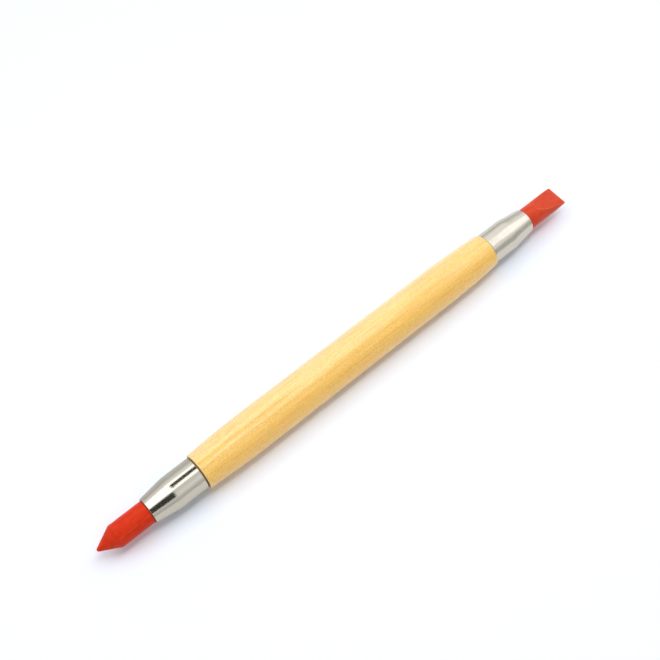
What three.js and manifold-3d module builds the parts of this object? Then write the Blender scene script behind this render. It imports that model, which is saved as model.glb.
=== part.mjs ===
// A double-ended rubber tip shaping tool: a turned wooden handle, a tapered metal ferrule on each
// end of it, and a rubber tip held in each ferrule, one a cone and one a chisel.
// Millimetres, +Z up. The tool lies along X with the chisel at +X, and rests on its handle at z = 0.
// The origin is under the middle of the whole length.

import * as THREE from "three";
import { mergeVertices } from "three/addons/utils/BufferGeometryUtils.js";
import Module from "manifold-3d";

// Handle
const handleLength = 112; // from shoulder to shoulder
const handleDiameter = 12.7; // the straight middle, as the dowel it is turned from
const handleEndDiameter = 11.2; // at the shoulders
const swellLength = 21; // over which the handle swells from a shoulder to its full diameter
const shoulderRound = 0.35; // radius of the shoulder's sanded edge
const restWidth = 2.6; // of the flat underneath, in place of the line that a round handle rests on
const tenonDiameter = 9.3;
const tenonLength = 7.6;
const tenonChamfer = 0.4;

// Ferrules, both drawn to one shape
const ferruleLength = 16.9;
const ferruleWall = 0.35;
const taperLength = 8; // from the knee to the mouth
const kneeRadius = 15; // of the soft bend from the cylinder to the taper
const tenonClearance = 0.12; // the glue line round the tenon
const pointShoulderGap = 0.5; // from the shoulder to the ferrule on the cone's end
const chiselShoulderGap = 0.3;

// Rubber tips
const tipDiameter = 7.15;
const tipClearance = 0.13; // round the rubber, all along the ferrule's taper
const tipSeatGap = 0.3; // from the tenon's end to the rubber's root
const pointReach = 17; // how far the cone tip stands out of its ferrule
const coneLength = 6.07;
const coneEndRadius = 0.6; // of the blunt end
const chiselReach = 15.3;
const bevelLength = 11; // of both flats, measured along the axis
const edgeThickness = 0.5; // of the chisel's round-nosed edge

// Roundness
const facets = 40; // round the axis
const arcSteps = 6; // along a small arc
const swellSteps = 8;

const axisHeight = Math.sqrt(handleDiameter ** 2 - restWidth ** 2) / 2;
const shoulderX = handleLength / 2;
const boreRadius = tenonDiameter / 2 + tenonClearance;
const ferruleRadius = boreRadius + ferruleWall;
const tipRadius = tipDiameter / 2;
const mouthRadius = tipRadius + tipClearance;
const rimRadius = mouthRadius + ferruleWall;

// Each end is modelled as the one at +X, with its distances measured out from the handle's middle.
const pointEnd = {
  ferruleX: shoulderX + pointShoulderGap,
  tipX: shoulderX + pointShoulderGap + ferruleLength + pointReach,
};
const chiselEnd = {
  ferruleX: shoulderX + chiselShoulderGap,
  tipX: shoulderX + chiselShoulderGap + ferruleLength + chiselReach,
};
const handleX = (pointEnd.tipX - chiselEnd.tipX) / 2; // puts the origin under the middle of the length

// Points of an arc round (cx, cr), from one angle to another, both in degrees from +X towards +r.
function arc(cx, cr, radius, from, to, steps) {
  return Array.from({ length: steps + 1 }, (_, i) => {
    const a = THREE.MathUtils.degToRad(from + ((to - from) * i) / steps);
    return [cx + radius * Math.cos(a), cr + radius * Math.sin(a)];
  });
}

// A solid of revolution about X. The profile is a list of [x, radius]. The flats that stand in for the
// round touch it in their middle, so that a piece is as thick as its profile says and mating pieces
// keep their clearance.
function turned(profile) {
  const spread = 1 / Math.cos(Math.PI / facets);
  const points = profile.map(([x, r]) => new THREE.Vector2(r * spread, x));
  const geometry = new THREE.LatheGeometry(points, facets, Math.PI / facets);
  return geometry.rotateZ(-Math.PI / 2);
}

const wasm = await Module();
wasm.setup();

function toSolid(geometry) {
  const bare = geometry.clone();
  bare.deleteAttribute("normal");
  bare.deleteAttribute("uv");
  const merged = mergeVertices(bare, 1e-4);
  return new wasm.Manifold(
    new wasm.Mesh({
      numProp: 3,
      vertProperties: merged.attributes.position.array,
      triVerts: new Uint32Array(merged.index.array),
    }),
  );
}

function toGeometry(solid) {
  const mesh = solid.getMesh();
  const geometry = new THREE.BufferGeometry();
  geometry.setAttribute("position", new THREE.BufferAttribute(mesh.vertProperties, 3));
  geometry.setIndex(new THREE.BufferAttribute(mesh.triVerts, 1));
  const flat = geometry.toNonIndexed();
  flat.computeVertexNormals();
  return flat;
}

// The half of the handle at +X: swelling parabola, sanded shoulder edge and chamfered tenon.
function handleHalf() {
  const swell = (u) =>
    handleDiameter / 2 - ((handleDiameter - handleEndDiameter) / 2) * (1 - u / swellLength) ** 2;
  const edge = swell(shoulderRound) - shoulderRound;
  const swollen = Array.from({ length: swellSteps }, (_, i) => {
    const u = swellLength + ((shoulderRound - swellLength) * i) / swellSteps;
    return [shoulderX - u, swell(u)];
  });
  return [
    ...swollen,
    ...arc(shoulderX - shoulderRound, edge, shoulderRound, 90, 0, arcSteps),
    [shoulderX, tenonDiameter / 2],
    [shoulderX + tenonLength - tenonChamfer, tenonDiameter / 2],
    [shoulderX + tenonLength, tenonDiameter / 2 - tenonChamfer],
    [shoulderX + tenonLength, 0],
  ];
}

// The whole handle, less what lies below its resting flat.
function handleGeometry() {
  const half = handleHalf();
  const other = half.map(([x, r]) => [-x, r]).reverse();
  const round = turned([...other, ...half]);
  const width = 2 * handleDiameter; // wider than the handle
  const below = new THREE.BoxGeometry(2 * handleLength, width, width);
  below.translate(0, 0, -axisHeight - width / 2);
  return toGeometry(toSolid(round).subtract(toSolid(below)));
}

// The bend between a cylinder and the ferrule's taper, for a surface that lies `inset` inside the
// ferrule's outer one. It returns the arc that touches both straight lines.
function kneeArc(ferruleX, inset) {
  const slope = Math.atan2(ferruleRadius - rimRadius, taperLength);
  const kneeX = ferruleX + ferruleLength - taperLength;
  const centreX = kneeX - kneeRadius * Math.tan(slope / 2);
  const degrees = THREE.MathUtils.radToDeg(slope);
  const radius = kneeRadius - inset;
  return arc(centreX, ferruleRadius - kneeRadius, radius, 90, 90 - degrees, arcSteps);
}

// A thin drawn shell, open at both ends: outer surface from back to mouth, then the bore back again.
function ferruleGeometry({ ferruleX }) {
  const mouthX = ferruleX + ferruleLength;
  const outer = [[ferruleX, ferruleRadius], ...kneeArc(ferruleX, 0), [mouthX, rimRadius]];
  const inner = [[mouthX, mouthRadius], ...kneeArc(ferruleX, ferruleWall).reverse(), [ferruleX, boreRadius]];
  return turned([...outer, ...inner, outer[0]]);
}

// The part of a tip inside its ferrule: a root that the taper traps, up to where the rubber comes out.
function tipRoot({ ferruleX }) {
  const rootX = shoulderX + tenonLength + tipSeatGap;
  const rootRadius = boreRadius - tipClearance;
  const mouthX = ferruleX + ferruleLength;
  return [
    [rootX, 0],
    [rootX, rootRadius],
    ...kneeArc(ferruleX, ferruleWall + tipClearance),
    [mouthX, tipRadius],
  ];
}

// A cylinder that ends in a cone with a blunt round end. The cone's side touches the round end, so its
// half angle is the bearing of the end's centre less the angle that the end's radius takes up there.
function pointTipGeometry(end) {
  const centreX = end.tipX - coneEndRadius;
  const baseX = end.tipX - coneLength;
  const run = centreX - baseX;
  const bearing = Math.atan2(tipRadius, run);
  const halfAngle = bearing - Math.asin(coneEndRadius / Math.hypot(tipRadius, run));
  const degrees = THREE.MathUtils.radToDeg(halfAngle);
  const bluntEnd = arc(centreX, 0, coneEndRadius, 90 - degrees, 0, arcSteps);
  return turned([...tipRoot(end), [baseX, tipRadius], ...bluntEnd]);
}

// A round bar cut to a chisel: what it shares with a wedge seen from the side, whose two flats run
// from the bar's own radius down to a round-nosed edge. The edge is level and square to the axis.
function chiselTipGeometry(end) {
  const nose = edgeThickness / 2;
  const noseX = end.tipX - nose;
  const bevelX = end.tipX - bevelLength;
  const slope = Math.atan2(tipRadius - nose, noseX - bevelX);
  const backX = shoulderX;
  const backHeight = tipRadius + (bevelX - backX) * Math.tan(slope);
  const degrees = THREE.MathUtils.radToDeg(slope);
  const outline = [
    [backX, -backHeight],
    ...arc(noseX, 0, nose, degrees - 90, 90 - degrees, 2 * arcSteps),
    [backX, backHeight],
  ];
  const bar = turned([...tipRoot(end), [end.tipX, tipRadius], [end.tipX, 0]]);
  const width = 2 * handleDiameter; // wider than the bar and its root
  const wedge = new THREE.ExtrudeGeometry(new THREE.Shape(outline.map(([x, z]) => new THREE.Vector2(x, z))), {
    depth: width,
    bevelEnabled: false,
  });
  wedge.translate(0, 0, -width / 2).rotateX(Math.PI / 2);
  return toGeometry(toSolid(bar).intersect(toSolid(wedge)));
}

const wood = new THREE.MeshStandardMaterial({ color: 0xf0cc86, roughness: 0.55, metalness: 0 });
const nickel = new THREE.MeshStandardMaterial({ color: 0xd2cfc6, roughness: 0.2, metalness: 1 });
const rubber = new THREE.MeshStandardMaterial({ color: 0xd63f24, roughness: 0.6, metalness: 0 });

function piece(name, geometry, material) {
  const mesh = new THREE.Mesh(geometry, material.clone());
  mesh.name = name;
  return mesh;
}

const chiselGroup = new THREE.Group();
chiselGroup.add(
  piece("chisel_ferrule", ferruleGeometry(chiselEnd), nickel),
  piece("chisel_tip", chiselTipGeometry(chiselEnd), rubber),
);

const pointGroup = new THREE.Group();
pointGroup.rotation.z = Math.PI; // the cone's end looks along -X
pointGroup.add(
  piece("point_ferrule", ferruleGeometry(pointEnd), nickel),
  piece("point_tip", pointTipGeometry(pointEnd), rubber),
);

const tool = new THREE.Group();
tool.position.set(handleX, 0, axisHeight);
tool.add(piece("handle", handleGeometry(), wood), pointGroup, chiselGroup);

export default tool;
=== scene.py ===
"""A double-ended rubber tip shaping tool, lying on a white table under soft lamps.

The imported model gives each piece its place. This script puts a fine surface over each of its solids,
gives it the finish of the real material, and sets up the table, the lamps and the camera.
Sizes are in millimetres and angles in degrees, until a mesh, a lamp or the camera is written in metres.
"""

import logging
import math
from collections.abc import Iterable, Mapping, Sequence
from dataclasses import dataclass
from enum import Enum
from typing import Any, ClassVar, NamedTuple

import bmesh
import bpy
import numpy as np
from mathutils import Euler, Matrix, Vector


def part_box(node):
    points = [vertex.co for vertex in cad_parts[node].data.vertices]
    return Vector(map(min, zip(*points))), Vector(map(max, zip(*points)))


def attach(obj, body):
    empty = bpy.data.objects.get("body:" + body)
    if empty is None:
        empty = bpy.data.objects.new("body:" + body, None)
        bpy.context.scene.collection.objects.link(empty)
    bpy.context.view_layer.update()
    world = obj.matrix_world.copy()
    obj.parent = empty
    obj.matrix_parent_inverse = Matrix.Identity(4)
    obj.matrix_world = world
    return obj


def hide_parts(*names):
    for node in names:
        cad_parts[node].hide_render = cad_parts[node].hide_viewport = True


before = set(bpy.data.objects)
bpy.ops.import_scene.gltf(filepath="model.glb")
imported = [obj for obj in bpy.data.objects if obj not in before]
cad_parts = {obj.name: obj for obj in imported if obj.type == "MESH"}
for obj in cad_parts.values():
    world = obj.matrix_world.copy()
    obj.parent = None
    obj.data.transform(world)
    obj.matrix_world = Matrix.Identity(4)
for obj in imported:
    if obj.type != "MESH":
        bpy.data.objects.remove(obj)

log = logging.getLogger("shaping_tool")

Colour = tuple[float, float, float, float]
Place = tuple[float, float, float]
Pair = tuple[float, float]
Outline = tuple[Pair, ...]
Grid = np.ndarray
Thing = bpy.types.Object
Tree = bpy.types.NodeTree
Socket = bpy.types.NodeSocket

MM = 0.001  # metres in a millimetre
BODY = "root"
MERGE_DISTANCE = 1e-4  # mm, under which two points of a seam or a pole are one
SMOOTH_ANGLE = 50.0  # an edge with a wider bend than this stays crisp
ANGLE_DIGITS = 4  # after the point, to which two angles are the same
WAVE_FACTOR = 20.0  # by which Blender's wave texture multiplies a distance


class Rows(Enum):
    """How the rows of a surface end."""

    OPEN = "the first and the last row are each closed to a point or a line"
    LOOP = "the last row joins the first"


class Slot(Enum):
    """Material slots that the finishes name."""

    WOOD = "turned_wood"
    METAL = "plated_ferrule"
    RUBBER = "tip_rubber"


@dataclass(frozen=True)
class Corner:
    """A corner of an outline."""

    along: float  # distance along the axis
    out: float  # radius from it
    rounding: float = 0.0  # radius of the arc that takes the corner off, or 0 for a crisp corner


class Grain(NamedTuple):
    """A cloudy pattern of a real size."""

    size: Place  # of one cloud along X, Y and Z
    detail: float  # how many finer layers it has
    turn: Place = (0.0, 0.0, 0.0)


class Tint(NamedTuple):
    """How a pattern changes the colour of the wood."""

    pattern: str
    span: Pair  # its values where the change starts and where it is full
    most: float  # the new colour's share where it is full
    code: str  # the new colour


def linear(code: str) -> Colour:
    """Turns an sRGB colour into the linear one that shaders work in.

    Args:
        code: The colour as six hexadecimal digits.

    Returns:
        Red, green, blue and an opacity of 1.
    """
    parts = [int(code[i : i + 2], 16) / 255 for i in (0, 2, 4)]
    knee, foot, offset, power = 0.04045, 12.92, 0.055, 2.4
    red, green, blue = [v / foot if v <= knee else ((v + offset) / (1 + offset)) ** power for v in parts]
    return red, green, blue, 1.0


def add_node(
    tree: Tree,
    kind: str,
    inputs: Mapping[str | int, Any] | None = None,
    stops: Iterable[tuple[float, float | str]] = (),
    **settings: Any,
) -> Mapping[str | int, Socket]:
    """Adds a node to a tree, with its settings and its links.

    Args:
        tree: The tree of a material or of the world.
        kind: Name of the node's type, without its first words ShaderNode.
        inputs: A plain value, or the socket that feeds it, for inputs by name or number.
        stops: Positions and colours of a colour ramp, each a grey's value or a colour's code.
        settings: The node's own options.

    Returns:
        The new node's outputs.
    """
    node = tree.nodes.new("ShaderNode" + kind)
    for name, value in settings.items():
        setattr(node, name, value)
    for key, value in (inputs or {}).items():
        if isinstance(value, Socket):
            tree.links.new(value, node.inputs[key])
        else:
            node.inputs[key].default_value = value
    for number, (position, colour) in enumerate(stops):
        ramp = node.color_ramp.elements
        stop = ramp[number] if number < len(ramp) else ramp.new(position)
        stop.position = position
        stop.color = linear(colour) if isinstance(colour, str) else grey(colour)
    return node.outputs


def spans(value: Socket, start: Pair, end: tuple[Any, Any] = (0.0, 1.0)) -> dict[str, Any]:
    """Gives the inputs of a node that carries a value from one span of numbers over to another."""
    return {"Value": value, "From Min": start[0], "From Max": start[1], "To Min": end[0], "To Max": end[1]}


def grey(value: float) -> Colour:
    """Gives a grey of a linear value."""
    return value, value, value, 1.0


def painted(
    tree: Tree, colour: Socket | Colour, coats: Iterable[tuple[Socket, Socket | Colour | str]]
) -> Socket:
    """Lays colours over a first one, in order.

    Args:
        tree: The material's nodes.
        colour: The first colour.
        coats: The share and the colour of each that follows.

    Returns:
        The socket that gives the last colour.
    """
    for share, coat in coats:
        layers = {"Factor": share, "A": colour, "B": linear(coat) if isinstance(coat, str) else coat}
        colour = add_node(tree, "Mix", layers, data_type="RGBA")["Result"]
    return colour


def new_tree(owner: bpy.types.Material | bpy.types.World) -> Tree:
    """Gives a material or a world an empty node tree.

    Args:
        owner: The material or the world.

    Returns:
        The tree.
    """
    owner.use_nodes = True
    owner.node_tree.nodes.clear()
    return owner.node_tree


def rounded(corners: Sequence[Corner], rows: Rows, bend: float = 9.0) -> Grid:
    """Draws an outline through corners, each taken off by an arc that touches both of its sides.

    Args:
        corners: The corners in order.
        rows: Whether the outline closes on itself.
        bend: The widest angle between two points of an arc.

    Returns:
        Points as rows of a distance along the axis and a radius.
    """
    spots = np.array([[c.along, c.out] for c in corners])
    points: list[Grid] = []
    for index, corner in enumerate(corners):
        spot = spots[index]
        at_end = rows is Rows.OPEN and index in (0, len(corners) - 1)
        if at_end or corner.rounding == 0:
            points.append(spot[None])
            continue
        back = spots[index - 1] - spot
        ahead = spots[(index + 1) % len(corners)] - spot
        back /= np.linalg.norm(back)
        ahead /= np.linalg.norm(ahead)
        opening = math.acos(float(np.clip(back @ ahead, -1, 1)))
        reach = corner.rounding / math.tan(opening / 2)
        middle = back + ahead
        centre = spot + middle / np.linalg.norm(middle) * corner.rounding / math.sin(opening / 2)
        first = spot + back * reach - centre
        last = spot + ahead * reach - centre
        turn = math.atan2(first[0] * last[1] - first[1] * last[0], first @ last)
        steps = max(2, math.ceil(abs(math.degrees(turn)) / bend))
        angles = turn * np.linspace(0, 1, steps + 1)
        cos, sin = np.cos(angles), np.sin(angles)
        arc = np.stack([first[0] * cos - first[1] * sin, first[0] * sin + first[1] * cos], 1)
        points.append(centre + arc)
    return np.concatenate(points)


def spaced(outline: Grid, step: float, rows: Rows) -> Grid:
    """Adds points to an outline's long straight stretches.

    Args:
        outline: The points of the outline.
        step: The widest gap that may be left between two points.
        rows: Whether the outline closes on itself.

    Returns:
        The outline with more points.
    """
    following = np.roll(outline, -1, axis=0)
    if rows is Rows.OPEN:
        following[-1] = outline[-1]
    counts = np.maximum(1, np.ceil(np.linalg.norm(following - outline, axis=1) / step).astype(int))
    stretches = [a + (b - a) * np.arange(n)[:, None] / n for a, b, n in zip(outline, following, counts)]
    return np.concatenate(stretches)


def box_of(node: str) -> tuple[Grid, Grid]:
    """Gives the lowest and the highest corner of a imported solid, in millimetres."""
    low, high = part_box(node)
    return np.array(low) / MM, np.array(high) / MM


@dataclass(frozen=True)
class Axis:
    """The tool's axis, a level line along X."""

    height: float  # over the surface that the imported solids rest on
    middle: float  # place along X from which the distances along the axis are measured
    direction: int = 1  # or -1 where they run towards -X

    def points(self, along: Grid, across: Grid, up: Grid) -> Grid:
        """Puts a surface in its place.

        Args:
            along: Distances along the axis.
            across: Distances across it, level, in a shape that goes with along.
            up: Heights above it.

        Returns:
            Points in metres. Looking towards -X is a half turn about the vertical, so that a
            surface's faces still point outwards.
        """
        x = self.middle + self.direction * along
        y = self.direction * across
        return np.stack(np.broadcast_arrays(x, y, self.height + up), -1) * MM

    def turned(self, along: Grid, radius: Grid, angle: Grid) -> Grid:
        """Turns an outline about the axis: each point goes round a circle of its radius."""
        return self.points(along, radius * np.cos(angle), radius * np.sin(angle))


def placed(name: str, data: bpy.types.ID) -> Thing:
    """Puts a mesh, a lamp or a camera in the scene.

    Args:
        name: Of the object.
        data: What it shows.

    Returns:
        The object, at the origin.
    """
    thing = bpy.data.objects.new(name, data)
    bpy.context.scene.collection.objects.link(thing)
    return thing


def surface(name: str, points: Grid, rows: Rows, marks: Mapping[str, Grid]) -> Thing:
    """Makes a closed mesh from a grid of points.

    Each row goes once round the axis, from +across towards up, and the rows follow the outline away
    from the tool's middle, so a face that takes a step round and then a step along points outwards.
    Where points of a row lie on each other, they are merged.

    Args:
        name: Of the object.
        points: Grid of rows, columns and three coordinates, in metres.
        rows: How the rows end.
        marks: Grids of numbers or of places, kept on the mesh as attributes of those names. Numbers
            may be one column for the whole grid.

    Returns:
        The object, at the origin.
    """
    count, around = points.shape[:2]
    index = np.arange(count * around).reshape(count, around)
    here, ahead = index, np.roll(index, -1, axis=0)
    if rows is Rows.OPEN:
        here, ahead = index[:-1], index[1:]
    faces = np.stack([here, np.roll(here, -1, 1), np.roll(ahead, -1, 1), ahead], -1)
    mesh = bpy.data.meshes.new(name)
    mesh.from_pydata(points.reshape(-1, 3).tolist(), [], faces.reshape(-1, 4).tolist())
    for label, mark in marks.items():
        kind, field = ("FLOAT_VECTOR", "vector") if mark.ndim == points.ndim else ("FLOAT", "value")
        grid = np.broadcast_to(mark, points.shape[: mark.ndim])
        attribute = mesh.attributes.new(label, kind, "POINT")
        attribute.data.foreach_set(field, grid.astype(np.float32).ravel())
    shape = bmesh.new()
    shape.from_mesh(mesh)
    bmesh.ops.remove_doubles(shape, verts=shape.verts, dist=MERGE_DISTANCE * MM)
    shape.to_mesh(mesh)
    shape.free()
    mesh.shade_smooth()
    mesh.set_sharp_from_angle(angle=math.radians(SMOOTH_ANGLE))
    return placed(name, mesh)


def columns(count: int, close_to: Sequence[float] = (), steps: Sequence[float] = ()) -> Grid:
    """Spreads a row's columns round the axis.

    Args:
        count: Of the columns that are spread evenly.
        close_to: Angles beside which there are more columns.
        steps: How far from those angles the added columns are.

    Returns:
        The angles of the columns, in radians.
    """
    even = np.arange(count) * 360 / count
    added = [(angle + sign * step) % 360 for angle in close_to for step in steps for sign in (-1, 1)]
    return np.radians(np.unique(np.round(np.concatenate([even, added]), ANGLE_DIGITS)))


@dataclass(frozen=True)
class Finish:
    """What a piece is made of. Patterns are in millimetres from the middle of the tool's axis."""

    name: str
    slot: ClassVar[Slot]

    def inputs(self, tree: Tree, place: Socket) -> dict[str, Any]:
        """Gives what goes into the shader."""
        raise NotImplementedError

    def material(self, height: float) -> bpy.types.Material:
        """Makes the material.

        Args:
            height: Of the tool's axis.

        Returns:
            The material, for all pieces with this finish.
        """
        made = bpy.data.materials.new(self.name)
        tree = new_tree(made)
        where = add_node(tree, "TexCoord")["Object"]
        moved = {"Vector": where, "Scale": (1 / MM,) * 3, "Location": (0, 0, -height)}
        place = add_node(tree, "Mapping", moved)["Vector"]
        shader = add_node(tree, "BsdfPrincipled", self.inputs(tree, place))
        add_node(tree, "OutputMaterial", {"Surface": shader["BSDF"]})
        return made

    def stretched(self, tree: Tree, place: Socket, size: Place, turn: Place) -> Socket:
        """Turns a place, then scales it so that one unit takes a real size.

        Args:
            tree: The material's nodes.
            place: In millimetres.
            size: Of a unit along X, Y and Z.
            turn: About X, Y and Z.

        Returns:
            The socket that gives the new place.
        """
        turned = add_node(tree, "Mapping", {"Vector": place, "Rotation": tuple(map(math.radians, turn))})
        scale = tuple(1 / side for side in size)
        return add_node(tree, "Mapping", {"Vector": turned["Vector"], "Scale": scale})["Vector"]

    def cloudy(self, tree: Tree, place: Socket, grain: Grain) -> Socket:
        """Makes a cloudy pattern on a place in millimetres, with values from 0 to 1."""
        where = self.stretched(tree, place, grain.size, grain.turn)
        return add_node(tree, "TexNoise", {"Vector": where, "Detail": grain.detail, "Scale": 1.0})["Fac"]

    def marks(self, tree: Tree, *names: str) -> list[Socket]:
        """Gives the shares that the mesh keeps under some names."""
        return [add_node(tree, "Attribute", attribute_name=name)["Fac"] for name in names]

    def relief(self, tree: Tree, layers: Sequence[tuple[Socket, float | Socket, float]]) -> Socket:
        """Lays fine heights over one another.

        Args:
            tree: The material's nodes.
            layers: The pattern, strength and full height of each.

        Returns:
            The socket that gives the surface's direction.
        """
        below: dict[str, Socket] = {}
        for pattern, strength, height in layers:
            inputs = {"Height": pattern, "Strength": strength, "Distance": height * MM, **below}
            below = {"Normal": add_node(tree, "Bump", inputs)["Normal"]}
        return below["Normal"]


@dataclass(frozen=True)
class LacqueredBirch(Finish):
    """Birch, turned from a dowel, sanded along the grain and sealed with a thin satin lacquer.

    The eye gets a pale straw wood with low contrast: growth rings as faint soft bands, fine fibres and
    short pores along the grain, all under one clear film whose shine is soft but has an edge, and a faint
    haze where the surface is seen at a slant. The wood is painted paler on its upper side, towards the
    lamps, and yellower on its lower side, as painted light; the shoulders' rounded edges carry a painted
    highlight, and the end grain in the joints is darker, partly its own tone and partly painted shade.
    """

    name: str = "lacquered_birch"
    slot: ClassVar[Slot] = Slot.WOOD
    lit_side_wood: str = "FFDC8C"  # painted highlight: the paler wood on the upper side, towards the lamps
    middle_wood: str = "FFCC58"
    # painted shade: the yellower wood on the lower side, away from the lamps
    shaded_side_wood: str = "FFC53C"
    side_stops: Place = (0.1, 0.5, 0.9)  # where the shaded side's colour, the middle wood and the lit side's colour are pure
    towards_lamps: Place = (-0.0012, 0.0725, 0.0306)  # so much of the way from the shaded to the lit colour per mm, up and towards +Y where the lamps are
    lit_span: Pair = (-0.38, 0.62)
    cloudiness: float = 0.3  # how far clouds move the way from the shaded to the lit colour
    light_fleck: str = "FFE196"
    dark_fleck: str = "DA861E"
    # the end grain in the joints: partly its own darker tone, partly painted shade of the gap
    shaded_end_grain: str = "9F6F14"
    edge_highlight: str = "FFE6B0"  # painted highlight on the shoulders' rounded edges
    ring_spacing: float = 1.25
    late_wood: Sequence[Pair] = ((0.0, 0.0), (0.6, 0.01), (0.86, 0.06), (1.0, 0.0))  # dark across a ring
    ring_stretch: float = 20.0  # how much slower the rings waver along the tool than across it
    pith: Place = (0.0, -26.0, -56.0)  # the tree's middle, from the tool's axis
    grain_turn: Place = (0.0, 0.3, 0.8)  # the dowel's axis isn't quite along the fibres
    band: Grain = Grain((45.0, 0.75, 0.75), 2.0, grain_turn)  # a bundle of fibres
    fibre: Grain = Grain((26.0, 0.3, 0.3), 1.0, grain_turn)
    fleck: Grain = Grain((0.5, 0.23, 0.23), 1.0, grain_turn)  # a pore or a ray's end
    cloud: Grain = Grain((22.0, 3.5, 3.5), 2.0)
    tints: tuple[Tint, ...] = (
        Tint("band", (0.45, 0.72), 0.07, dark_fleck),
        Tint("fibre", (0.5, 0.61), 0.24, dark_fleck),
        Tint("fleck", (0.5, 0.26), 0.5, light_fleck),
        Tint("fleck", (0.5, 0.76), 0.4, dark_fleck),
    )
    band_relief: Pair = (0.3, 0.008)  # strength and full height
    pore_relief: Pair = (0.5, 0.006)
    roughness: float = 0.55
    shine: float = 0.2
    film_index: float = 1.7
    film_roughness: float = 0.12
    haze: float = 0.3
    haze_roughness: float = 0.5
    glow: float = 0.35  # the share of light that comes back from within the wood
    depth: Place = (1.0, 0.35, 0.08)  # how far red, green and blue light spread there, as shares
    depth_scale: float = 2.0  # of the whole spread

    def inputs(self, tree: Tree, place: Socket) -> dict[str, Any]:
        """Makes the wood from rings, bands, fibres, flecks and clouds. The way from the yellower lower
        side to the paler upper side, painted shade below and painted highlight above, runs straight across
        the dowel.

        Args:
            tree: The material's nodes.
            place: In millimetres from the middle of the tool's axis.

        Returns:
            The shader's inputs by name.
        """
        along_rings = self.stretched(tree, place, (self.ring_stretch, 1.0, 1.0), self.grain_turn)
        from_pith = {"Vector": along_rings, "Location": tuple(-p for p in self.pith)}
        wavering = {
            "Vector": add_node(tree, "Mapping", from_pith)["Vector"],
            "Scale": math.tau / (WAVE_FACTOR * self.ring_spacing),
            "Distortion": 0.7,
            "Detail": 2.0,
            "Detail Scale": 0.5,
        }
        kind = {"wave_type": "RINGS", "rings_direction": "X", "wave_profile": "SAW"}
        rings = add_node(tree, "TexWave", wavering, **kind)["Fac"]
        late_wood = add_node(tree, "ValToRGB", {"Fac": rings}, self.late_wood)["Color"]
        grains = {"band": self.band, "fibre": self.fibre, "fleck": self.fleck, "cloud": self.cloud}
        patterns = {name: self.cloudy(tree, place, grain) for name, grain in grains.items()}
        # painted light: the colour goes from yellower on the lower side to paler on the upper side, up and
        # towards +Y, where the lamps are
        side = add_node(tree, "VectorMath", {0: place, 1: self.towards_lamps}, operation="DOT_PRODUCT")
        way = {0: patterns["cloud"], 1: self.cloudiness, 2: side["Value"]}
        clouded = add_node(tree, "Math", way, operation="MULTIPLY_ADD")[0]
        lit_share = add_node(tree, "MapRange", spans(clouded, self.lit_span))["Result"]
        woods = zip(self.side_stops, (self.shaded_side_wood, self.middle_wood, self.lit_side_wood))
        ground = add_node(tree, "ValToRGB", {"Fac": lit_share}, woods)["Color"]
        coats = [(late_wood, self.dark_fleck)]
        for tint in self.tints:
            share = add_node(tree, "MapRange", spans(patterns[tint.pattern], tint.span, (0.0, tint.most)))
            coats.append((share["Result"], tint.code))
        # painted highlight on the shoulders' edges; painted shade, with the end grain's own darker tone, in
        # the joints
        edge, shaded_joint = self.marks(tree, "edge", "shaded_joint")
        coats += [(edge, self.edge_highlight), (shaded_joint, self.shaded_end_grain)]
        heights = ((patterns["band"], *self.band_relief), (patterns["fleck"], *self.pore_relief))
        return {
            "Base Color": painted(tree, ground, coats),
            "Roughness": self.roughness,
            "Specular IOR Level": self.shine,
            "Subsurface Weight": self.glow,
            "Subsurface Radius": self.depth,
            "Subsurface Scale": self.depth_scale * MM,
            "Coat Weight": add_node(tree, "Math", {0: 1.0, 1: shaded_joint}, operation="SUBTRACT")[0],
            "Coat IOR": self.film_index,
            "Coat Roughness": self.film_roughness,
            "Sheen Weight": self.haze,
            "Sheen Roughness": self.haze_roughness,
            "Normal": self.relief(tree, heights),
        }


@dataclass(frozen=True)
class NickelPlate(Finish):
    """Bright nickel plate on a drawn brass shell.

    The eye gets a warm silver mirror, a little blurred: lines from the drawing die run along it, and
    the plate is finely pitted, so the edges of what it mirrors break up into specks.
    """

    name: str = "nickel_plate"
    slot: ClassVar[Slot] = Slot.METAL
    plate: str = "D3CFC4"
    tarnish: str = "C4BFB2"
    unplated_and_shaded: str = "2C2426"  # the unplated inside, and painted shade on the mouth's end face and at the gaps
    line: Grain = Grain((9.0, 0.16, 0.16), 2.0)
    pit: Grain = Grain((0.22, 0.22, 0.22), 2.0)
    wave: Grain = Grain((3.0, 2.2, 2.2), 1.0)
    line_height: float = 0.0008
    pit_height: float = 0.003
    wave_height: float = 0.012
    roughness: float = 0.15
    pit_span: Pair = (0.3, 0.75)  # of the pits' pattern, over which the roughness changes
    roughness_span: Pair = (0.9, 1.15)  # its shares at both ends of that

    def inputs(self, tree: Tree, place: Socket) -> dict[str, Any]:
        """Makes the plate from draw lines, pits and waves, which follow the mark drawn.

        Args:
            tree: The material's nodes.
            place: In millimetres from the middle of the tool's axis.

        Returns:
            The shader's inputs by name.
        """
        drawn = add_node(tree, "Attribute", attribute_name="drawn")["Vector"]
        lines, pits, waves = (self.cloudy(tree, drawn, grain) for grain in (self.line, self.pit, self.wave))
        # painted dark: the unplated inside, and painted shade on the mouth's face and at the gaps
        inside, pitted = self.marks(tree, "inside", "pitted")
        coats = ((lines, self.tarnish), (inside, self.unplated_and_shaded))
        low, high = self.roughness_span
        rough = spans(pits, self.pit_span, (self.roughness * low, self.roughness * high))
        smooth = [(waves, 1.0, self.wave_height), (lines, 1.0, self.line_height)]
        return {
            "Base Color": painted(tree, linear(self.plate), coats),
            "Metallic": 1.0,
            "Roughness": add_node(tree, "MapRange", rough)["Result"],
            "Normal": self.relief(tree, [*smooth, (pits, pitted, self.pit_height)]),
        }


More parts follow.
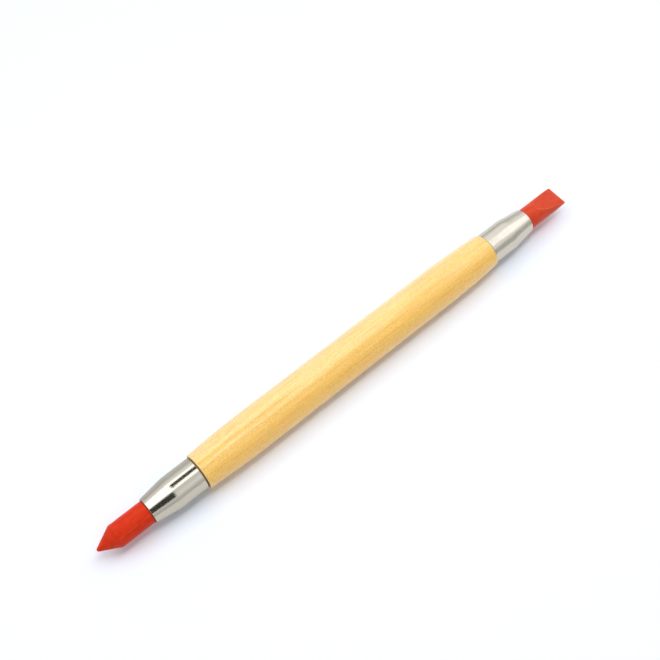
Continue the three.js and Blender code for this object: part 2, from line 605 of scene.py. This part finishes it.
@dataclass(frozen=True)
class MouldedRubber(Finish):
    """Firm synthetic rubber, moulded in one piece.

    The eye gets a strong orange red with a broad dull shine, faint clouds from the mixing of the
    compound, and a bloom and a few pale specks of the powder that kept it from sticking to the mould.
    Ridges and edges are painted lighter, for rubbing and a painted highlight, and the part inside the
    ferrule's mouth is painted dark, as painted shade.
    """

    name: str = "moulded_rubber"
    slot: ClassVar[Slot] = Slot.RUBBER
    red: str = "DA3713"
    deep: str = "CA2D0E"
    red_span: Pair = (0.3, 0.75)  # of the clouds, from pure red to pure deep
    rubbed_and_highlit: str = "F0662F"  # edges and ridges painted lighter, for rubbing and a painted highlight
    # painted shade on the part of the tip inside the ferrule's mouth
    joint_shade: str = "3A1210"
    speck: str = "F0A08C"
    cloud: Grain = Grain((1.9, 1.3, 1.3), 3.0)
    skin: Grain = Grain((0.16, 0.16, 0.16), 2.0)
    skin_relief: Pair = (0.6, 0.008)  # strength and full height
    speck_cell: float = 1.5  # of the grid that the specks are strewn on
    bare_cells: float = 0.86  # the share of the cells that have no speck
    speck_span: Pair = (0.05, 0.12)  # a speck's sharp and faded radius, in cells
    speck_share: float = 0.7
    roughness: float = 0.5
    shine: float = 0.06
    bloom: float = 0.12

    def inputs(self, tree: Tree, place: Socket) -> dict[str, Any]:
        """Makes the rubber from clouds, a fine skin and specks.

        Args:
            tree: The material's nodes.
            place: In millimetres from the middle of the tool's axis.

        Returns:
            The shader's inputs by name.
        """
        clouds, skin = (self.cloudy(tree, place, grain) for grain in (self.cloud, self.skin))
        strewn = self.stretched(tree, place, (self.speck_cell,) * 3, (0, 0, 0))
        cells = add_node(tree, "TexVoronoi", {"Vector": strewn, "Scale": 1.0})
        drawn_lots = {0: cells["Color"], 1: self.bare_cells}
        chosen = add_node(tree, "Math", drawn_lots, operation="GREATER_THAN")[0]
        fading = spans(cells["Distance"], self.speck_span, (self.speck_share, 0.0))
        close = add_node(tree, "MapRange", fading)["Result"]
        specks = add_node(tree, "Math", {0: chosen, 1: close}, operation="MULTIPLY")[0]
        reds = zip(self.red_span, (self.red, self.deep))
        ground = add_node(tree, "ValToRGB", {"Fac": clouds}, reds)["Color"]
        # the rubber is painted lighter for rubbing and a painted highlight, and dark in the mouth as
        # painted shade
        wear_and_highlight, shaded_joint = self.marks(tree, "wear_and_highlight", "shaded_joint")
        coats = ((specks, self.speck), (wear_and_highlight, self.rubbed_and_highlit), (shaded_joint, self.joint_shade))
        return {
            "Base Color": painted(tree, ground, coats),
            "Roughness": self.roughness,
            "Specular IOR Level": self.shine,
            "Sheen Weight": self.bloom,
            "Normal": self.relief(tree, [(skin, *self.skin_relief)]),
        }


class Assembly:
    """A sub-assembly of the tool, which dresses its pieces as it makes them."""

    axis: Axis

    def dress(self, piece: Thing, node: str, finish: Finish) -> None:
        """Gives a piece its finish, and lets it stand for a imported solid.

        Args:
            piece: The new piece.
            node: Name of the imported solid.
            finish: What it is made of.
        """
        made = bpy.data.materials.get(finish.name) or finish.material(self.axis.height)
        piece.data.materials.append(made)
        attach(piece, BODY)
        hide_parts(node)
        log.info("%s: %d faces, for %s", piece.name, len(piece.data.polygons), node)


@dataclass
class Handle(Assembly):
    """The wooden handle: a turned rod that swells from both shoulders, with a tenon on each end."""

    axis: Axis
    reach: float  # from the handle's middle to the end of a tenon
    diameter: float  # of the straight middle
    end_diameter: float = 11.2  # at the shoulders
    swell_length: float = 21.0  # over which the handle swells to its full diameter
    shoulder_round: float = 0.2  # radius of a shoulder's sanded edge
    highlight_share: float = 0.6  # of that edge, from the face back, that carries a painted highlight
    unshaded_width: float = 0.24  # of the ring of end grain round a shoulder's face that keeps the wood's own colour, outside the painted shade
    tenon_diameter: float = 9.3
    tenon_length: float = 7.6
    tenon_chamfer: float = 0.4
    around: ClassVar[int] = 160
    row_step: ClassVar[float] = 0.45
    swell_rows: ClassVar[int] = 48

    def outline(self) -> Grid:
        """Draws the outline from the middle of one tenon's end to the other's.

        The swell is a parabola: the radius falls short of the full one by the square of the share of
        the swell's length that is still to come.

        Returns:
            Distances along the axis and radii.
        """
        shoulder = self.reach - self.tenon_length
        gain = (self.diameter - self.end_diameter) / 2
        swell = [
            Corner(shoulder - self.swell_length * (1 - share), self.diameter / 2 - gain * share**2)
            for share in np.linspace(0, 1, self.swell_rows)
        ]
        tenon = self.tenon_diameter / 2
        half = [
            *swell[:-2],
            Corner(shoulder, self.end_diameter / 2, self.shoulder_round),
            Corner(shoulder, self.end_diameter / 2 - self.shoulder_round - self.unshaded_width),
            Corner(shoulder, tenon),
            Corner(self.reach - self.tenon_chamfer, tenon),
            Corner(self.reach, tenon - self.tenon_chamfer),
            Corner(self.reach, 0),
        ]
        other = [Corner(-c.along, c.out, c.rounding) for c in reversed(half)]
        return spaced(rounded([*other, *half], Rows.OPEN), self.row_step, Rows.OPEN)

    def build(self) -> None:
        """Turns the outline about the axis. The mark glued is 1 on the tenons and on the inner part of the
        shoulders' end grain, which is painted darker: partly the end grain's own tone, partly painted shade
        of the joint's gap. The mark edge is 1 on the shoulders' rounded edges, which carry a painted
        highlight."""
        along, radius = self.outline().T[:, :, None]
        past = np.abs(along) - (self.reach - self.tenon_length)
        drop = self.end_diameter / 2 - radius
        # painted shade of the joint, partly the end grain's own tone: the tenons and the inner end grain of
        # the shoulders
        shaded_joint = (past > -MERGE_DISTANCE) & (drop > self.shoulder_round + self.unshaded_width)
        # painted highlight along the shoulders' rounded edges
        edge = (past > -self.highlight_share * self.shoulder_round) & ~shaded_joint
        points = self.axis.turned(along, radius, columns(self.around))
        piece = surface("handle_turned", points, Rows.OPEN, {"shaded_joint": shaded_joint, "edge": edge})
        self.dress(piece, "handle", LacqueredBirch())


@dataclass
class ToolEnd(Assembly):
    """One end of the tool: a tapered ferrule and the rubber tip that it holds.

    Distances run from the handle's middle out to the tip.
    """

    axis: Axis  # looks out along this end
    back: float  # where the ferrule starts, near the shoulder
    mouth: float  # where it ends
    root: float  # where the tip's root starts, inside the ferrule
    tip: float  # where the tip ends
    radius: float  # of the ferrule's cylinder
    wall: float = 0.35
    lip_round: float = 0.11  # radius of the outer edge of the ferrule's mouth
    back_round: float = 0.05  # radius of its edges near the shoulder
    inner_lip_round: float = 0.2  # radius of the edge that the rubber comes out over
    taper_length: float = 8.0  # from the knee to the mouth
    knee_round: float = 15.0  # radius of the soft bend from the cylinder to the taper
    tip_radius: float = 3.575  # where the rubber leaves the ferrule
    root_round: float = 0.2
    clearance: float = 0.13  # between the rubber and the ferrule
    flash_height: float = 0.04  # how far the lines where the mould's halves met stand out
    flash_width: float = 0.16
    label: ClassVar[str]
    plate: ClassVar[NickelPlate] = NickelPlate()
    rubber: ClassVar[MouldedRubber] = MouldedRubber()
    pitting: ClassVar[Place] = (0.0, 0.05, 1.0)  # at the ferrule's back, knee and mouth
    around: ClassVar[int] = 160
    row_step: ClassVar[float] = 0.25
    knee_bend: ClassVar[float] = 2.0  # between two rows of the knee

    @property
    def knee(self) -> float:
        """Where the taper starts."""
        return self.mouth - self.taper_length

    @property
    def rim(self) -> float:
        """The outer radius at the mouth."""
        return self.tip_radius + self.clearance + self.wall

    def bend(self, inset: float) -> Corner:
        """Gives the knee of a surface inside the ferrule's outer one.

        Args:
            inset: How far inside, both before the knee and after it.

        Returns:
            The corner.
        """
        slope = math.atan2(self.radius - self.rim, self.taper_length)
        back = inset * math.tan(slope / 2)
        return Corner(self.knee - back, self.radius - inset, self.knee_round - inset)

    def ferrule_outline(self) -> Grid:
        """Draws the section of the shell.

        Returns:
            Distances along the axis and radii: the outside from back to mouth, then the bore.
        """
        corners = [
            Corner(self.back, self.radius, self.back_round),
            self.bend(0),
            Corner(self.mouth, self.rim, self.lip_round),
            Corner(self.mouth, self.tip_radius + self.clearance, self.inner_lip_round),
            self.bend(self.wall),
            Corner(self.back, self.radius - self.wall, self.back_round),
        ]
        return spaced(rounded(corners, Rows.LOOP, self.knee_bend), self.row_step, Rows.LOOP)

    def build_ferrule(self) -> None:
        """Turns the section about the axis. The mark drawn keeps each point's place as if the shell
        were one straight cylinder, so that the draw lines follow the taper. The mark inside is 1 on
        the inner half of the wall and on the mouth's face, which are painted dark: the unplated metal, and
        painted shade of the gaps at both ends; the mark pitted grows towards the mouth."""
        along, radius = self.ferrule_outline().T[:, :, None]
        angle = columns(self.around)
        outside = np.interp(along, (self.knee, self.mouth), (self.radius, self.rim))
        depth = np.where(along > self.knee, self.lip_round, self.wall / 2)
        marks = {
            "drawn": self.axis.turned(along, np.full_like(radius, self.radius), angle) / MM,
            "inside": radius < outside - depth,
            "pitted": np.interp(along, (self.back, self.knee, self.mouth), self.pitting),
        }
        points = self.axis.turned(along, radius, angle)
        shell = surface(f"{self.label}_ferrule_drawn", points, Rows.LOOP, marks)
        self.dress(shell, f"{self.label}_ferrule", self.plate)

    def root_corners(self) -> list[Corner]:
        """Gives the part of the tip inside the ferrule. The rubber follows the bore at the clearance,
        so that the taper traps it.

        Returns:
            Corners from the middle of the root's end face to the mouth.
        """
        knee = self.bend(self.wall + self.clearance)
        root = Corner(self.root, knee.out, self.root_round)
        return [Corner(self.root, 0), root, knee, Corner(self.mouth, self.tip_radius)]

    def past_mouth(self, along: Grid) -> Grid:
        """Gives 0 inside the mouth, and grows to 1 over the first row outside it."""
        return np.clip((along - self.mouth) / self.row_step, 0, 1)

    def flash(self, distance: Grid) -> Grid:
        """Gives the ridge's height, which falls off with the square of the share of its half width."""
        off = distance / self.flash_width
        return self.flash_height * np.clip(1 - (2 * off) ** 2, 0, 1) ** 2

    def finish_tip(self, along: Grid, points: Grid, wear_and_highlight: Grid) -> None:
        """Makes the tip's mesh and dresses it. The mark glued is 1 inside the ferrule's mouth, where the
        rubber is painted dark, as painted shade.

        Args:
            along: Distances along the axis.
            points: The surface's points, in metres.
            wear_and_highlight: How light the rubber is painted at each, for rubbing and a painted
                highlight.
        """
        shaded_joint = along < self.mouth + MERGE_DISTANCE
        piece = surface(f"{self.label}_tip_moulded", points, Rows.OPEN, {"wear_and_highlight": wear_and_highlight, "shaded_joint": shaded_joint})
        self.dress(piece, f"{self.label}_tip", self.rubber)

    def build_tip(self) -> None:
        """Makes the rubber tip."""
        raise NotImplementedError

    def build(self) -> None:
        """Makes both pieces of this end."""
        self.build_ferrule()
        self.build_tip()


@dataclass
class PointEnd(ToolEnd):
    """The end with the cone."""

    cone_length: float = 6.07  # from the cone's base to its blunt end
    blunt_round: float = 0.6  # radius of the blunt end
    base_round: float = 0.5  # radius of the soft edge round the cone's base
    parting: float = 48.0  # angle of one line where the mould's halves met; the other is opposite
    flash_height: float = 0.045
    flash_width: float = 0.17
    flash_wear_and_highlight: float = 0.5  # how light the ridge is painted, for rubbing and a painted highlight
    rubbed_end: float = 0.4  # how light the blunt end is rubbed
    label: ClassVar[str] = "point"
    end_bend: ClassVar[float] = 6.0
    ball_rows: ClassVar[int] = 16
    flash_columns: ClassVar[tuple[float, ...]] = (0, 0.15, 0.3, 0.45, 0.6, 0.8, 1.1)  # in ridge widths

    def build_tip(self) -> None:
        """Turns the outline about the axis, and adds to the radius a low ridge along both parting
        lines."""
        base = self.tip - self.cone_length
        centre = self.tip - self.blunt_round
        run = centre - base
        lean = math.atan2(self.tip_radius, run)
        half_angle = lean - math.asin(self.blunt_round / math.hypot(self.tip_radius, run))
        apex = centre + self.blunt_round / math.sin(half_angle)
        corners = [*self.root_corners(), Corner(base, self.tip_radius, self.base_round), Corner(apex, 0)]
        cone = rounded(corners, Rows.OPEN, self.end_bend)
        angles = np.linspace(math.pi / 2 - half_angle, 0, self.ball_rows)
        ball = np.stack([centre + self.blunt_round * np.cos(angles), self.blunt_round * np.sin(angles)], 1)
        ball[-1, 1] = 0
        outline = spaced(np.concatenate([cone[:-1], ball]), self.row_step, Rows.OPEN)
        along, radius = outline.T[:, :, None]
        degree = math.degrees(self.flash_width / self.tip_radius)
        lines = (self.parting, self.parting + 180)
        angle = columns(self.around, lines, degree * np.array(self.flash_columns))
        ridge = self.flash(np.abs(np.sin(angle - math.radians(self.parting))) * self.tip_radius)
        shown = self.past_mouth(along)
        shown = shown * np.clip(radius / self.tip_radius, 0, 1) * (radius > self.blunt_round / 2)
        ends = np.clip(1 - radius / self.blunt_round, 0, 1) * (along > base)
        # the ridge is painted lighter for rubbing and a painted highlight, the blunt end for rubbing
        wear_and_highlight = self.flash_wear_and_highlight * ridge / self.flash_height * shown + self.rubbed_end * ends
        self.finish_tip(along, self.axis.turned(along, radius + ridge * shown, angle), wear_and_highlight)


@dataclass
class ChiselEnd(ToolEnd):
    """The end with the chisel: a round bar with two flats that meet in a level edge. It is handled more
    than the other, so its plate is duller, and its rubber is more orange and painted lighter at its crease
    and edge, for rubbing and a painted highlight."""

    bevel_length: float = 11.0  # of both flats, along the axis
    edge_thickness: float = 0.5  # of the round-nosed edge
    corner_round: float = 0.35  # radius of the edge's two corners, seen from above
    flat_round: float = 0.07  # how far the line between a flat and the round side is softened
    crease_light_height: float = 0.16  # how far up and down from that line the rubber is painted light, for rubbing and a painted highlight
    crease_wear_and_highlight: float = 0.55  # how light it is painted there
    edge_wear_and_highlight: float = 0.45  # how far back from the edge it is painted light, for rubbing and a painted highlight
    crease_light_middle: float = 0.3  # how far the crease is painted light in the middle, more towards -Y
    crease_light_least: float = 0.1  # how far it is painted light on the other side
    label: ClassVar[str] = "chisel"
    plate: ClassVar[NickelPlate] = NickelPlate("handled_plate", wave_height=0.05, roughness=0.2)
    rubber: ClassVar[MouldedRubber] = MouldedRubber(
        "handled_rubber", red="D84622", deep="CC3A17", rubbed_and_highlit="F4814A", shine=0.13
    )
    pitting: ClassVar[Place] = (0.0, 0.0, 0.0)
    bar_bend: ClassVar[float] = 4.0  # between two rows of the root's knee
    end_rows: ClassVar[int] = 28
    side_columns: ClassVar[int] = 22
    side_power: ClassVar[float] = 1.6  # by which they gather at the flat
    flat_columns: ClassVar[int] = 33
    widest: ClassVar[float] = 86.0  # angle of the round side where there is no flat yet
    least_radius: ClassVar[float] = 0.001  # to divide by where the bar has none
    level: ClassVar[float] = 1e-9  # under which a height is taken as none
    sideways: ClassVar[float] = 0.9  # the cosine past which a column may carry the ridge

    def half_height(self, along: Grid) -> Grid:
        """Gives the height of the flats above the axis: a straight line that starts at the bar's own
        radius, goes over into the nose's arc where they touch, and ends on the axis.

        Args:
            along: Distances along the axis.

        Returns:
            Heights in the same shape.
        """
        nose = self.edge_thickness / 2
        centre = self.tip - nose
        start = self.tip - self.bevel_length
        slope = math.atan2(self.tip_radius - nose, centre - start)
        touch = centre + nose * math.sin(slope)
        touch_height = nose * math.cos(slope)
        fall = (self.tip_radius - touch_height) / (touch - start)
        straight = self.tip_radius + (start - along) * fall
        arc = np.sqrt(np.clip(nose**2 - (along - centre) ** 2, 0, None))
        return np.where(along < touch, straight, arc)

    def rows(self) -> Grid:
        """Lays out the rows. Near the edge a row's distance from the end goes with the square of its
        number, so that the nose and the corners stay round.

        Returns:
            Distances along the axis and the bar's radii.
        """
        near = 2 * self.corner_round
        corners = [*self.root_corners(), Corner(self.tip - near, self.tip_radius)]
        bar = spaced(rounded(corners, Rows.OPEN, self.bar_bend), self.row_step, Rows.OPEN)
        last = self.tip - near * np.linspace(1, 0, self.end_rows + 1)[1:] ** 2
        closing = np.stack([last, np.full_like(last, self.tip_radius)], 1)
        return np.concatenate([bar, closing])

    def build_tip(self) -> None:
        """Makes the bar's surface, row by row from the root to the edge.

        A point of a row goes round the bar's circle. Its height is the lesser of the circle's and the
        flats', softened where they are alike. Towards the edge's corners the circle is drawn in
        across the axis, as a quarter circle seen from above. The columns gather at the line where
        the flat meets the round, so that this line is a clean one.
        """
        along, radius = self.rows().T[:, :, None]
        flats = self.half_height(along)
        bar = np.maximum(radius, self.least_radius)
        meet = np.clip(flats / bar, 0, math.sin(math.radians(self.widest)))
        meet = np.arcsin(meet)
        side = 1 - (1 - np.linspace(0, 1, self.side_columns)) ** self.side_power
        top = (1 - np.cos(np.linspace(0, math.pi, self.flat_columns))) / 2
        quarter = meet * side
        over = meet + (math.pi - 2 * meet) * top[1:-1]
        half = np.concatenate([quarter, over, (math.pi - quarter)[:, ::-1]], 1)
        angle = np.concatenate([half, half[:, 1:-1] + math.pi], 1)
        into_corner = np.clip(along - (self.tip - self.corner_round), 0, self.corner_round)
        drawn_in = self.corner_round - np.sqrt(np.clip(self.corner_round**2 - into_corner**2, 0, None))
        width = np.where(along > self.mouth, self.tip_radius - drawn_in, radius)
        round_height = np.abs(np.sin(angle)) * radius
        round_height = np.where(round_height < self.level, 0, round_height)
        gap = round_height - flats
        soft = np.minimum(self.flat_round, flats)
        height = np.clip((round_height + flats - np.sqrt(gap**2 + soft**2)) / 2, 0, None)
        height[round_height == 0] = 0
        up = np.sign(np.sin(angle)) * height
        across = np.cos(angle) * width
        shown = self.past_mouth(along) * (along < self.tip - self.corner_round)
        ridge = self.flash(up) * shown * (np.abs(np.cos(angle)) > self.sideways)
        across = across + np.sign(across) * ridge
        # the crease and the edge are painted lighter, more towards -Y: rubbing and a painted highlight
        rubbed_and_highlit = self.crease_light_middle - across * self.axis.direction / self.tip_radius
        crease = np.clip(1 - np.abs(gap) / self.crease_light_height, 0, 1) * np.clip(rubbed_and_highlit, self.crease_light_least, 1)
        crease = crease * (along > self.tip - self.bevel_length)
        edge = np.clip(1 - (self.tip - along) / self.edge_wear_and_highlight, 0, 1)
        wear_and_highlight = np.maximum(self.crease_wear_and_highlight * crease, edge)
        self.finish_tip(along, self.axis.points(along, across, up), wear_and_highlight)


class Card(NamedTuple):
    """Something above the tool that only the metal, the lacquer and the rubber mirror."""

    name: str
    height: float  # above the axis
    brightness: float  # what is seen of it, where 1 is white
    outline: Outline  # the X and Y of its corners, counter-clockwise from above


class Lamp(NamedTuple):
    """A level soft lamp, as it lights things. What shows of it in a shine is a card."""

    name: str
    centre: Place  # from the middle of the tool's axis
    size: Pair
    brightness: float  # where 1 is what a white sheet shows on the table


@dataclass
class Studio:
    """The table, the lamps over it, the room's light and the camera."""

    axis_height: float
    table_height: float  # under the round handle
    table_size: float = 4000.0
    paper: Place = (0.93, 0.93, 0.93)  # what the table throws back onto the tool
    seen_paper: Place = (0.9, 0.948, 1.03)  # what the camera sees of it
    mirrored_span: Pair = (-60.0, 70.0)  # along X, over which what a shine mirrors of it changes
    mirrored_front: Pair = (0.83, 0.93)  # on the side of -Y, at both ends of that
    mirrored_back: Pair = (0.64, 0.9)  # on the side of +Y
    mirrored_turn: Pair = (0.0, 10.0)  # along Y, from the one to the other
    fade: Pair = (300.0, 900.0)  # from the tool, over which the camera sees the table turn white
    room_brightness: float = 0.12  # in every direction, as it lights the table
    room_gain: Pair = (0.34, 0.6)  # added to that towards +X and +Y
    room_colour: Place = (0.97, 0.99, 1.0)
    mirrored_gain: Place = (0.12, 0.02, 0.0)  # added towards +X, +Y and +Z to what a shine mirrors
    aim: Pair = (2.21, 10.09)  # the point at the axis's height that the camera looks at
    distance: float = 327.7  # from that point to the camera
    heading: float = 40.94  # the way it looks, from +Y towards +X
    tilt: float = 60.79  # how far it looks down
    lens: float = 59.945  # its focal length
    picture_width: ClassVar[float] = 36.0
    half_pixel: ClassVar[float] = 0.5 / 660  # of a picture that is 660 pixels wide
    nearest: ClassVar[float] = 10.0  # that the camera sees
    lamps: ClassVar[tuple[Lamp, ...]] = (
        Lamp("long_overhead_lamp", (350, 0, 600), (1100, 200), 2.62),
        Lamp("small_overhead_lamp", (0, -50, 600), (400, 100), 4.83),
        Lamp("left_lamp", (-550, 275, 600), (700, 350), 2.53),
        Lamp("back_lamp", (350, 275, 600), (1100, 350), 0.96),
        Lamp("front_lamp", (0, -550, 600), (1800, 500), 0.79),
    )
    main_face: ClassVar[Outline] = (
        (-700, 540), (-700, -140), (150, -150), (180, -50), (265, -45), (290, 540),
    )
    camera_body: ClassVar[Outline] = (
        (-220, -112), (-220, -455), (-85, -455), (-69, -400), (-69, -150), (-84, -92),
    )
    lamp_arm: ClassVar[Outline] = (
        (-57, 136), (-67, 105), (-58, 28), (-52, 25), (-50, -25), (-33, -25), (-31, 20),
        (56, 18), (64, 60), (64, 118), (54, 139),
    )
    cards: ClassVar[tuple[Card, ...]] = (
        Card("main_lamp_face", 600, 2.0, main_face),
        Card("side_lamp_face", 600, 1.78, ((340, 175), (340, -325), (850, -440), (850, 220))),
        Card("ceiling", 600, 1.2, ((300, 1400), (300, 170), (850, 205), (850, 1400))),
        Card("dark_end", 600, 0.59, ((400, -900), (2500, -6500), (7000, -6500), (1700, -900))),
        Card("camera_body", 290, 0.03, camera_body),
        Card("lamp_arm", 290, 0.03, lamp_arm),
    )
    mirrored_room: ClassVar[Sequence[Pair]] = (  # height as a sine, and brightness
        (0.0, 0.65), (0.28, 0.67), (0.41, 0.85), (0.53, 0.96),
        (0.64, 1.05), (0.74, 1.0), (0.85, 0.86), (1.0, 0.82),
    )

    def flat(self, name: str, outline: Sequence[Pair], height: float) -> Thing:
        """Makes a level sheet that faces up.

        Args:
            name: Of the object.
            outline: The X and Y of its corners, counter-clockwise from above.
            height: Its Z.

        Returns:
            The object.
        """
        mesh = bpy.data.meshes.new(name)
        corners = [(x * MM, y * MM, height * MM) for x, y in outline]
        mesh.from_pydata(corners, [], [tuple(range(len(corners)))])
        made = placed(name, mesh)
        return made

    def build_table(self) -> None:
        """Makes the table: a white sheet that shows as white to the camera, keeps the tool's shadow,
        and lets the camera through from below. What a shine mirrors of it is darker towards -X, and
        more so at +Y. Far from the tool the camera sees it as plain white, without its shading."""
        half = self.table_size / 2
        square = ((-half, -half), (half, -half), (half, half), (-half, half))
        table = self.flat("table", square, self.table_height)
        made = bpy.data.materials.new("white_sheet")
        tree = new_tree(made)
        path = add_node(tree, "LightPath")
        to_camera = path["Is Camera Ray"]
        where = add_node(tree, "TexCoord")["Object"]
        apart = add_node(tree, "SeparateXYZ", {0: where})
        spread = (self.mirrored_span, self.mirrored_turn, self.fade)
        across, middle, out = (tuple(place * MM for place in span) for span in spread)
        sides = tuple(
            add_node(tree, "MapRange", spans(apart["X"], across, ends))["Result"]
            for ends in (self.mirrored_front, self.mirrored_back)
        )
        mirrored = add_node(tree, "MapRange", spans(apart["Y"], middle, sides))["Result"]
        views = ((to_camera, (*self.seen_paper, 1.0)), (path["Is Glossy Ray"], mirrored))
        colour = painted(tree, (*self.paper, 1.0), views)
        away = add_node(tree, "VectorMath", {0: where}, operation="LENGTH")["Value"]
        faded = add_node(tree, "MapRange", spans(away, out), interpolation_type="SMOOTHSTEP")
        seen_white = add_node(tree, "Math", {0: to_camera, 1: faded["Result"]}, operation="MULTIPLY")[0]
        below = add_node(tree, "NewGeometry")["Backfacing"]
        white = add_node(tree, "Emission", {"Color": grey(1.0)})
        shown = add_node(tree, "BsdfDiffuse", {"Color": colour})
        for share, other in ((seen_white, white), (below, add_node(tree, "BsdfTransparent"))):
            shown = add_node(tree, "MixShader", {0: share, 1: shown[0], 2: other[0]})
        add_node(tree, "OutputMaterial", {"Surface": shown[0]})
        table.data.materials.append(made)

    def build_cards(self) -> None:
        """Makes the cards, which show in a shine and nowhere else."""
        for card in self.cards:
            piece = self.flat(card.name, card.outline, self.axis_height + card.height)
            made = bpy.data.materials.new(card.name)
            tree = new_tree(made)
            glow = add_node(tree, "Emission", {"Color": grey(1.0), "Strength": card.brightness})
            add_node(tree, "OutputMaterial", {"Surface": glow[0]})
            piece.data.materials.append(made)
            for ray in ("camera", "diffuse", "transmission", "shadow"):
                setattr(piece, f"visible_{ray}", False)

    def build_lamps(self) -> None:
        """Hangs the soft lamps, level, over the tool."""
        for lamp in self.lamps:
            light = bpy.data.lights.new(lamp.name, "AREA")
            light.shape = "RECTANGLE"
            light.size, light.size_y = (side * MM for side in lamp.size)
            light.energy = lamp.brightness * math.pi * light.size * light.size_y
            hung = placed(lamp.name, light)
            x, y, z = lamp.centre
            hung.location = Vector((x, y, z + self.axis_height)) * MM
            hung.visible_camera = False
            hung.visible_glossy = False

    def build_room(self) -> None:
        """Makes the room's light: brighter towards +X and +Y as it lights the table, white to the
        camera, and as a shine mirrors it brightest half way up, and brighter towards +X."""
        world = bpy.data.worlds.new("room")
        tree = new_tree(world)
        where = add_node(tree, "TexCoord")["Generated"]
        apart = add_node(tree, "SeparateXYZ", {0: where})
        by_height = add_node(tree, "ValToRGB", {"Fac": apart["Z"]}, self.mirrored_room)["Color"]
        by_side = add_node(tree, "VectorMath", {0: where, 1: self.mirrored_gain}, operation="DOT_PRODUCT")
        mirrored = add_node(tree, "Math", {0: by_side["Value"], 1: by_height}, operation="ADD")
        strength: float | Socket = self.room_brightness
        for direction, gain in zip("XY", self.room_gain):
            towards = add_node(tree, "Math", {0: apart[direction], 1: 0.0}, operation="MAXIMUM")
            more = {0: towards[0], 1: gain, 2: strength}
            strength = add_node(tree, "Math", more, operation="MULTIPLY_ADD")[0]
        shown = add_node(tree, "Background", {"Color": (*self.room_colour, 1.0), "Strength": strength})
        mirror = add_node(tree, "Background", {"Color": grey(1.0), "Strength": mirrored[0]})
        white = add_node(tree, "Background", {"Color": grey(1.0)})
        path = add_node(tree, "LightPath")
        for ray, other in (("Is Glossy Ray", mirror), ("Is Camera Ray", white)):
            shown = add_node(tree, "MixShader", {0: path[ray], 1: shown[0], 2: other[0]})
        add_node(tree, "OutputWorld", {"Surface": shown[0]})
        world.cycles.sampling_method = "NONE"
        bpy.context.scene.world = world

    def build_camera(self) -> None:
        """Sets the camera where the photographer's was."""
        data = bpy.data.cameras.new("camera")
        data.sensor_width = self.picture_width
        data.lens = self.lens
        data.shift_x = -self.half_pixel
        data.shift_y = self.half_pixel
        data.clip_start = self.nearest * MM
        camera = placed("camera", data)
        turn = Euler((math.radians(90 - self.tilt), 0, math.radians(-self.heading)))
        target = Vector((*self.aim, self.axis_height))
        back = turn.to_matrix() @ Vector((0, 0, 1))
        camera.location = (target + back * self.distance) * MM
        camera.rotation_euler = turn
        bpy.context.scene.camera = camera

    def build(self) -> None:
        """Sets up everything round the tool."""
        self.build_camera()
        self.build_table()
        self.build_cards()
        self.build_lamps()
        self.build_room()
        bpy.context.scene.view_settings.view_transform = "Standard"
        log.info("studio: table at %.4f mm", self.table_height)


def end_of_tool(kind: type[ToolEnd], height: float, middle: float, direction: int) -> ToolEnd:
    """Reads one end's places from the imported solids.

    Args:
        kind: Of the end.
        height: Of the tool's axis.
        middle: Of the handle, along X.
        direction: The way that the end looks along X.

    Returns:
        The end, ready to build.
    """
    boxes = {name: box_of(f"{kind.label}_{name}") for name in ("ferrule", "tip")}
    out = {name: sorted((corner[0] - middle) * direction for corner in box) for name, box in boxes.items()}
    low, high = boxes["ferrule"]
    back, mouth = out["ferrule"]
    root, tip = out["tip"]
    axis = Axis(height, middle, direction)
    return kind(axis, back=back, mouth=mouth, root=root, tip=tip, radius=(high[1] - low[1]) / 2)


def main() -> None:
    """Builds the tool and what stands round it."""
    logging.basicConfig(level=logging.INFO, format="%(message)s")
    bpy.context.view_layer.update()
    low, high = box_of("handle")
    diameter = high[1] - low[1]
    height = high[2] - diameter / 2
    middle = (low[0] + high[0]) / 2
    Studio(axis_height=height, table_height=height - diameter / 2).build()
    Handle(Axis(height, middle), reach=(high[0] - low[0]) / 2, diameter=diameter).build()
    end_of_tool(PointEnd, height, middle, -1).build()
    end_of_tool(ChiselEnd, height, middle, 1).build()


if __name__ == "__main__":
    main()
